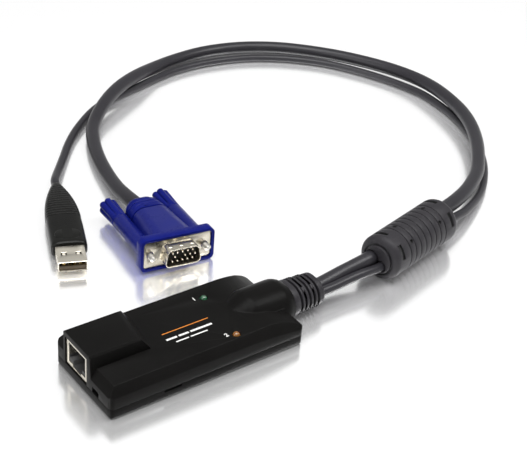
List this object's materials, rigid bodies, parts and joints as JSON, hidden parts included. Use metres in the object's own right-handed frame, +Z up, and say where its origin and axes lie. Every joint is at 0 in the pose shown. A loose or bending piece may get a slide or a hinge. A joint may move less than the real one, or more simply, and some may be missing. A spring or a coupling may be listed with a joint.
{
  "type": "kvm extender transmitter",
  "caption": "Flat black adapter case with a shielded network socket, two lamps and a ribbed strain relief, its two leads run through a ferrite sleeve to a blue video plug and a slim USB plug.",
  "frame": {"origin": "centre of the case's underside, on the level that the plugs and leads lie on", "axes": "+X along the case from the network socket towards the leads, +Y away from the side with the power lamp, +Z up"},
  "size_m": [0.2809, 0.2369, 0.02],
  "materials": {
    "case_plastic": "satin black moulded ABS with a fine grain",
    "screw_steel": "nickel-plated steel screws",
    "board_laminate": "green solder resist on glass laminate",
    "chip_resin": "black moulding resin",
    "crystal_steel": "drawn steel can",
    "header_nylon": "natural nylon",
    "socket_plastic": "black glass-filled nylon",
    "shield_nickel": "bright nickel-plated sheet",
    "contact_gold": "gold-plated contacts",
    "green_lens": "green tinted lamp",
    "amber_lens": "amber tinted lamp",
    "lead_tin": "tinned wire",
    "switch_plastic": "black nylon",
    "boot_pvc": "dark grey flexible PVC, matt",
    "cable_pvc": "dark grey PVC sheath, satin",
    "ferrite": "sintered ferrite",
    "plug_blue": "deep blue flexible PVC, satin",
    "plug_nickel": "nickel-plated drawn steel",
    "plug_black": "black thermoplastic",
    "grip_black": "black flexible PVC, satin"
  },
  "bodies": {
    "module": {"lower_cover": "case_plastic", "upper_cover": "case_plastic", "case_screws": "screw_steel", "circuit_board": "board_laminate", "controller_chip": "chip_resin", "line_driver_chip": "chip_resin", "crystal_can": "crystal_steel", "cable_headers": "header_nylon", "rj45_housing": "socket_plastic", "rj45_shield": "shield_nickel", "rj45_contacts": "contact_gold", "online_led": "green_lens", "power_led": "amber_lens", "led_leads": "lead_tin", "recovery_switch_body": "switch_plastic", "strain_relief_boot": "boot_pvc", "vga_cable": "cable_pvc", "usb_cable": "cable_pvc", "ferrite_core": "ferrite", "ferrite_overmould": "boot_pvc", "vga_overmould": "plug_blue", "vga_shell": "plug_nickel", "vga_insulator": "plug_black", "vga_pins": "contact_gold", "usb_overmould": "grip_black", "usb_shell": "plug_nickel", "usb_tongue": "plug_black", "usb_contacts": "contact_gold"},
    "left_thumbscrew": {"left_screw": "screw_steel", "left_knob": "plug_blue"},
    "right_thumbscrew": {"right_screw": "screw_steel", "right_knob": "plug_blue"},
    "recovery_switch": {"recovery_switch_slider": "switch_plastic"}
  },
  "joints": [
    {"name": "left_thumbscrew_turn", "type": "hinge", "parent": "module", "child": "left_thumbscrew", "pos_m": [0.01548, 0.05008, 0.00842], "axis": [0.1322, 0.9905, -0.0384], "continuous": true},
    {"name": "right_thumbscrew_turn", "type": "hinge", "parent": "module", "child": "right_thumbscrew", "pos_m": [0.04024, 0.04675, 0.00777], "axis": [0.1322, 0.9905, -0.0384], "continuous": true},
    {"name": "recovery_switch_slide", "type": "slide", "parent": "module", "child": "recovery_switch", "axis": [0, 1, 0], "range_m": [0, 0.002]}
  ]
}
